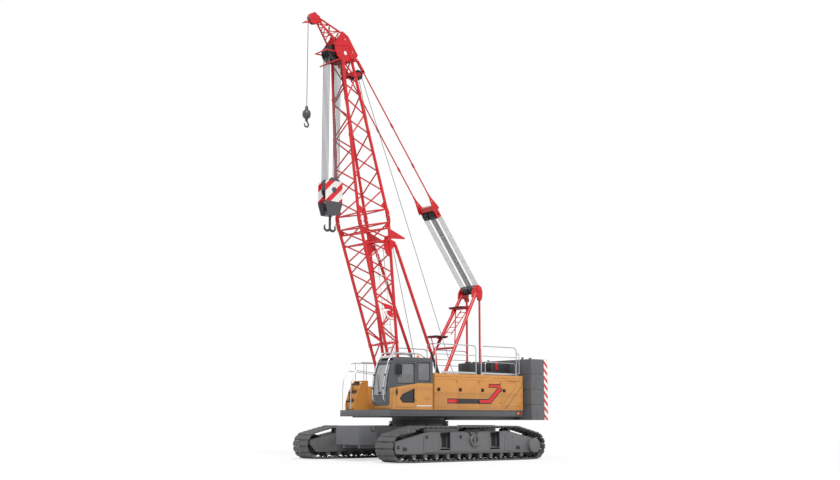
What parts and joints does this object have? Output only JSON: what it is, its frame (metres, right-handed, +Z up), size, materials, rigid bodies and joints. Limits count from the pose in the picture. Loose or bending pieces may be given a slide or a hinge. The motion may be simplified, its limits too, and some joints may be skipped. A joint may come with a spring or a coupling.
{
  "type": "lattice boom crawler crane",
  "caption": "Crawler crane with a short lattice boom on extendable tracks, stacked counterweight, gantry, main hook block and auxiliary hook.",
  "frame": {"origin": "on the ground under the slewing axis", "axes": "+X forward, towards the boom; +Y to the left, the cab side; +Z up"},
  "size_m": [10.2433, 5.97, 15.9666],
  "materials": {
    "boom_red": "gloss",
    "house_orange": "gloss",
    "frame_grey": "satin",
    "dark_grey": "satin",
    "weight_grey": "painted",
    "track_steel": "worn",
    "sheave_black": "satin",
    "rope_steel": "oiled",
    "window_glass": "clear",
    "seat_fabric": "woven",
    "hook_white": "gloss",
    "stripe": "gloss",
    "hook_grey": "forged"
  },
  "bodies": {
    "undercarriage": {"carbody": "frame_grey", "carbody_weights": "frame_grey", "slew_ring_lower": "dark_grey"},
    "track_unit_left": {"track_frame_left": "frame_grey", "track_left": "track_steel", "rollers_left": "track_steel", "idler_left": "track_steel", "sprocket_left": "track_steel", "travel_drive_left": "dark_grey"},
    "track_unit_right": {"track_frame_right": "frame_grey", "track_right": "track_steel", "rollers_right": "track_steel", "idler_right": "track_steel", "sprocket_right": "track_steel", "travel_drive_right": "dark_grey"},
    "upper": {"slew_ring_upper": "dark_grey", "deck": "dark_grey", "boom_foot_pins": "dark_grey", "gantry": "boom_red", "gantry_sheaves": "sheave_black", "gantry_rear_legs": "boom_red", "house_left": "house_orange", "house_right": "house_orange", "engine": "dark_grey", "cab": "dark_grey", "cab_glass": "window_glass", "cab_seat": "seat_fabric", "steps": "house_orange", "winches": "dark_grey", "counterweight_1": "weight_grey", "counterweight_2": "weight_grey", "counterweight_3": "weight_grey", "counterweight_4": "weight_grey", "stripe_plates": "stripe"},
    "boom": {"boom_base": "boom_red", "boom_top": "boom_red", "boom_sheaves": "sheave_black", "tip_jib": "boom_red"},
    "hoist_reeving": {"hoist_ropes": "rope_steel"},
    "hoist_line": {"bridle": "boom_red", "pendants": "boom_red"},
    "backstop_tubes": {"backstop_tubes": "boom_red"},
    "backstop_rods": {"backstop_rods": "dark_grey"},
    "main_line": {"main_falls": "rope_steel", "hook_block": "hook_white"},
    "main_hook": {"main_hook": "hook_grey"},
    "aux_line": {"aux_rope": "rope_steel", "aux_weight": "hook_grey"},
    "aux_hook": {"aux_hook": "hook_grey"},
    "cab_door": {"cab_door": "house_orange", "cab_door_glass": "window_glass"},
    "house_door_left_4": {"house_door_left_4": "house_orange"},
    "house_door_left_3": {"house_door_left_3": "house_orange"},
    "house_door_left_2": {"house_door_left_2": "house_orange"},
    "house_door_left_1": {"house_door_left_1": "house_orange"},
    "house_door_right_3": {"house_door_right_3": "house_orange"},
    "house_door_right_2": {"house_door_right_2": "house_orange"},
    "house_door_right_1": {"house_door_right_1": "house_orange"}
  },
  "joints": [
    {"name": "slew", "type": "hinge", "parent": "undercarriage", "child": "upper", "pos_m": [0, 0, 1.37], "axis": [0, 0, 1], "continuous": true},
    {"name": "track_extend_left", "type": "slide", "parent": "undercarriage", "child": "track_unit_left", "axis": [0, 1, 0], "range_m": [-0.5, 0]},
    {"name": "track_extend_right", "type": "slide", "parent": "undercarriage", "child": "track_unit_right", "axis": [0, -1, 0], "range_m": [-0.5, 0]},
    {"name": "boom_luff", "type": "hinge", "parent": "upper", "child": "boom", "pos_m": [1.18, 0, 1.95], "axis": [0, -1, 0], "range_deg": [-47.7, 2]},
    {"name": "hoist_line_swing", "type": "hinge", "parent": "upper", "child": "hoist_reeving", "pos_m": [-2.63, 0, 6.43], "axis": [0, -1, 0], "range_deg": [-44.75, 2.35]},
    {"name": "hoist_line_pay_out", "type": "slide", "parent": "hoist_reeving", "child": "hoist_line", "axis": [0.594, 0, 0.8044], "range_m": [-0.2071, 4.7102]},
    {"name": "backstop_swing", "type": "hinge", "parent": "boom", "child": "backstop_tubes", "pos_m": [1.62071, 0, 7.75947], "axis": [0, -1, 0], "range_deg": [-0.57, 2.21]},
    {"name": "backstop_slide", "type": "slide", "parent": "backstop_tubes", "child": "backstop_rods", "axis": [-0.4026, 0, -0.9154], "range_m": [-0.0771, 1.6093]},
    {"name": "main_falls_hang", "type": "hinge", "parent": "boom", "child": "main_line", "pos_m": [4.08094, 0, 14.60244], "axis": [0, -1, 0], "range_deg": [-2.5, 48.2]},
    {"name": "main_hook_swivel", "type": "hinge", "parent": "main_line", "child": "main_hook", "pos_m": [4.08094, 0, 8.49444], "axis": [0, 0, 1], "continuous": true},
    {"name": "aux_rope_hang", "type": "hinge", "parent": "boom", "child": "aux_line", "pos_m": [4.94, 0, 15.75], "axis": [0, -1, 0], "range_deg": [-2.5, 48.2]},
    {"name": "aux_hook_swivel", "type": "hinge", "parent": "aux_line", "child": "aux_hook", "pos_m": [5.1433, 0, 11.95], "axis": [0, 0, 1], "continuous": true},
    {"name": "cab_door_swing", "type": "hinge", "parent": "upper", "child": "cab_door", "pos_m": [1.33, 1.513, 2.6], "axis": [0, 0, 1], "range_deg": [0, 90]},
    {"name": "house_door_left_4_swing", "type": "hinge", "parent": "upper", "child": "house_door_left_4", "pos_m": [-3.847, 1.516, 2.4], "axis": [0, 0, 1], "range_deg": [0, 105]},
    {"name": "house_door_left_3_swing", "type": "hinge", "parent": "upper", "child": "house_door_left_3", "pos_m": [-2.7495, 1.516, 2.4], "axis": [0, 0, 1], "range_deg": [0, 105]},
    {"name": "house_door_left_2_swing", "type": "hinge", "parent": "upper", "child": "house_door_left_2", "pos_m": [-1.652, 1.516, 2.4], "axis": [0, 0, 1], "range_deg": [0, 105]},
    {"name": "house_door_left_1_swing", "type": "hinge", "parent": "upper", "child": "house_door_left_1", "pos_m": [-0.5545, 1.516, 2.4], "axis": [0, 0, 1], "range_deg": [0, 105]},
    {"name": "house_door_right_3_swing", "type": "hinge", "parent": "upper", "child": "house_door_right_3", "pos_m": [-3.847, -1.516, 2.4], "axis": [0, 0, -1], "range_deg": [0, 105]},
    {"name": "house_door_right_2_swing", "type": "hinge", "parent": "upper", "child": "house_door_right_2", "pos_m": [-2.38367, -1.516, 2.4], "axis": [0, 0, -1], "range_deg": [0, 105]},
    {"name": "house_door_right_1_swing", "type": "hinge", "parent": "upper", "child": "house_door_right_1", "pos_m": [-0.92033, -1.516, 2.4], "axis": [0, 0, -1], "range_deg": [0, 105]}
  ],
  "couplings": [
    {"joint": "hoist_line_swing", "follows": "boom_luff", "ratio": 0.92766},
    {"joint": "hoist_line_pay_out", "follows": "boom_luff", "m_per_rad": -5.6457},
    {"joint": "backstop_swing", "follows": "boom_luff", "ratio": -0.03596},
    {"joint": "backstop_slide", "follows": "boom_luff", "m_per_rad": -1.9211},
    {"joint": "main_falls_hang", "follows": "boom_luff", "ratio": -1},
    {"joint": "aux_rope_hang", "follows": "boom_luff", "ratio": -1}
  ]
}
